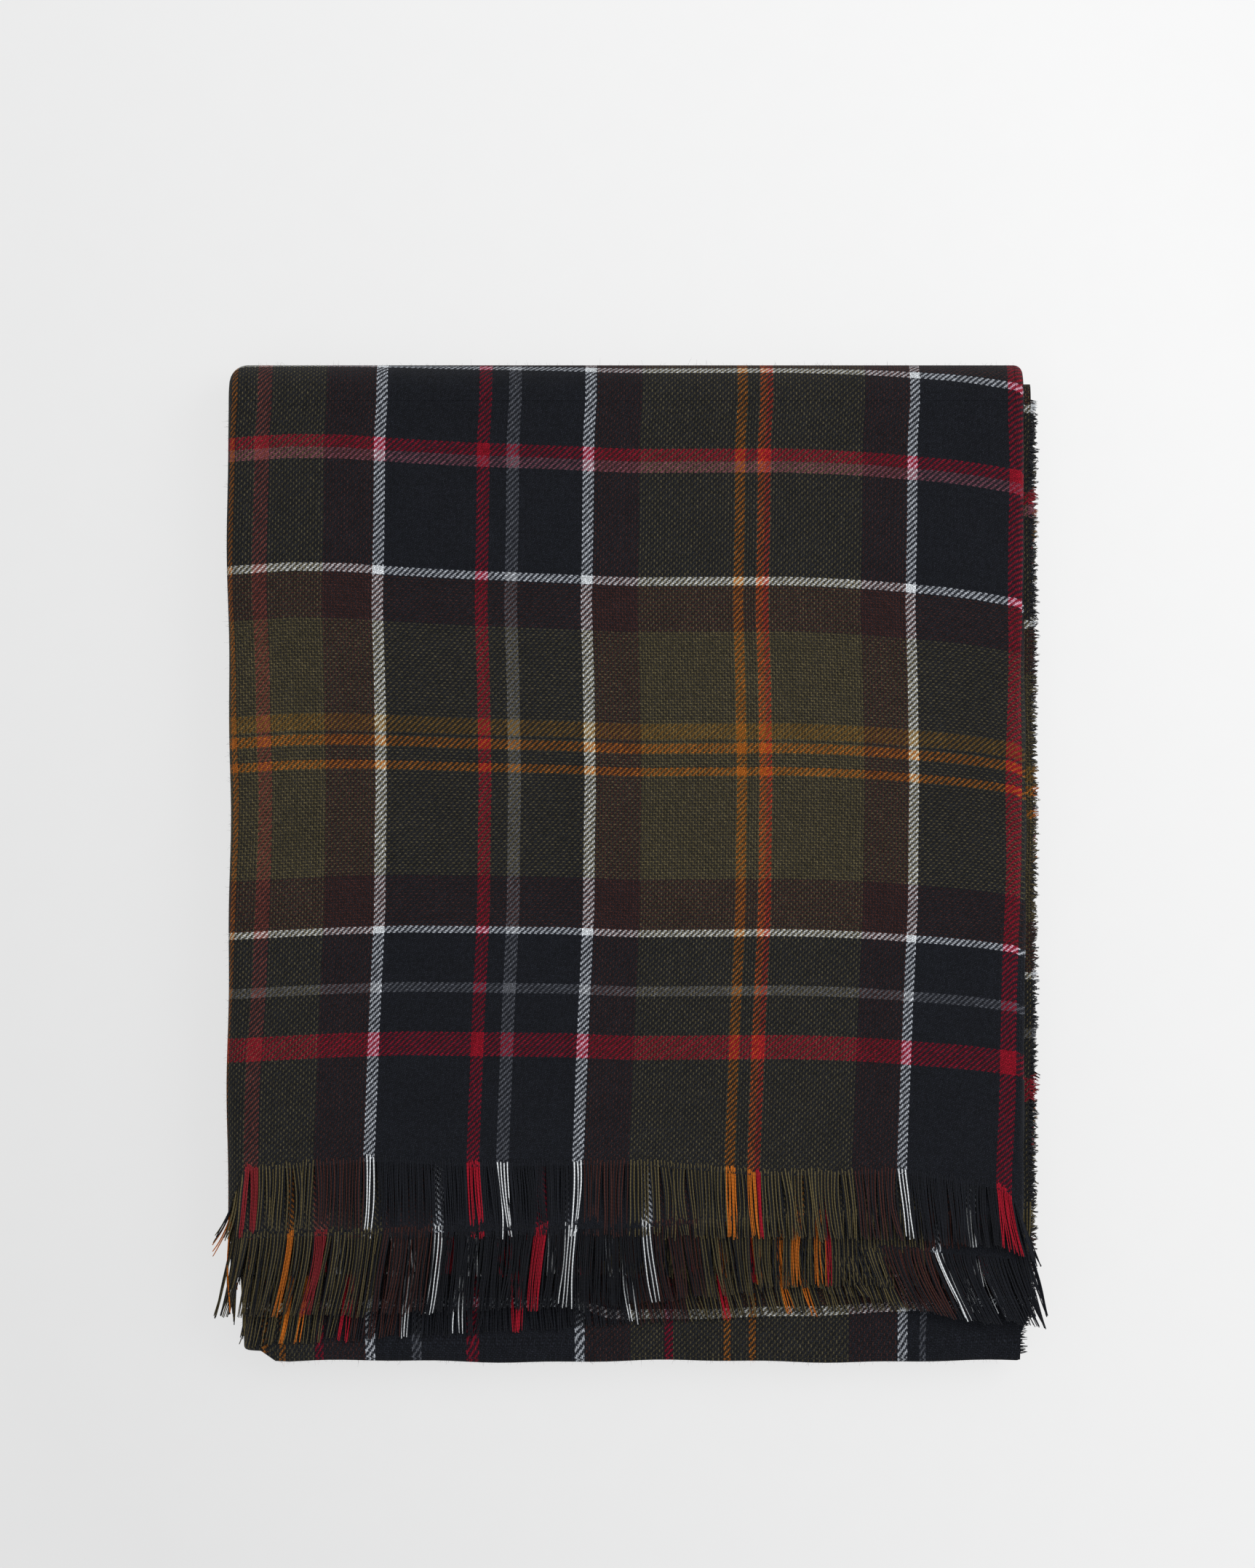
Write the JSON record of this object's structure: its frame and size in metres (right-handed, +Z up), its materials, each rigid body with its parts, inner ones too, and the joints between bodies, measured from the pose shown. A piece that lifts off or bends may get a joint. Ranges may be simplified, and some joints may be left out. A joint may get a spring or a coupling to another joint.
{
  "type": "folded throw blanket",
  "caption": "Checked twill throw with fringed ends, folded into a flat rectangular packet; the upper half opens like a book on its top fold.",
  "frame": {"origin": "under the middle of the packet, on the surface it lies on", "axes": "+X across the packet towards the cut side edges, +Y up the packet from the fringed hems to the top fold, +Z up"},
  "size_m": [0.3708, 0.44, 0.0332],
  "materials": {
    "checked_twill": "brushed twill weave, checked in navy, olive, brown, red, white and orange",
    "fringe_yarn": "loose two-ply yarn ends in the colours of the warp"
  },
  "bodies": {
    "base": {"base_ply_1": "checked_twill", "base_ply_2": "checked_twill", "base_ply_3": "checked_twill", "base_ply_4": "checked_twill", "base_ply_5": "checked_twill", "base_ply_6": "checked_twill", "base_ply_7": "checked_twill", "base_ply_8": "checked_twill", "base_left_fold_1": "checked_twill", "base_left_fold_2": "checked_twill", "base_left_fold_3": "checked_twill", "base_left_fold_4": "checked_twill", "base_right_fold_1": "checked_twill", "base_right_fold_2": "checked_twill", "base_cut_edge_tufts": "fringe_yarn", "top_fold_1": "checked_twill", "top_fold_2": "checked_twill", "top_fold_3": "checked_twill", "top_fold_4": "checked_twill", "top_fold_5": "checked_twill", "top_fold_6": "checked_twill", "top_fold_7": "checked_twill", "top_fold_8": "checked_twill", "top_left_corner_folds": "checked_twill", "top_right_corner_folds": "checked_twill", "bottom_fold_1": "checked_twill", "bottom_fold_2": "checked_twill", "bottom_fold_3": "checked_twill", "bottom_fold_4": "checked_twill"},
    "flap": {"flap_ply_1": "checked_twill", "flap_ply_2": "checked_twill", "flap_ply_3": "checked_twill", "flap_ply_4": "checked_twill", "flap_ply_5": "checked_twill", "flap_ply_6": "checked_twill", "flap_ply_7": "checked_twill", "flap_ply_8": "checked_twill", "flap_left_fold_1": "checked_twill", "flap_left_fold_2": "checked_twill", "flap_left_fold_3": "checked_twill", "flap_left_fold_4": "checked_twill", "flap_right_fold_1": "checked_twill", "flap_right_fold_2": "checked_twill", "flap_cut_edge_tufts": "fringe_yarn", "fringe_1": "fringe_yarn", "fringe_2": "fringe_yarn", "fringe_3": "fringe_yarn", "fringe_4": "fringe_yarn", "fringe_5": "fringe_yarn", "fringe_6": "fringe_yarn", "fringe_7": "fringe_yarn", "fringe_8": "fringe_yarn"}
  },
  "joints": [
    {"name": "flap_unfold", "type": "hinge", "parent": "base", "child": "flap", "pos_m": [0, 0.2034, 0.0166], "axis": [-1, 0, 0], "range_deg": [0, 180], "deforming": ["top_fold_1", "top_fold_2", "top_fold_3", "top_fold_4", "top_fold_5", "top_fold_6", "top_fold_7", "top_fold_8", "top_left_corner_folds", "top_right_corner_folds"]}
  ]
}
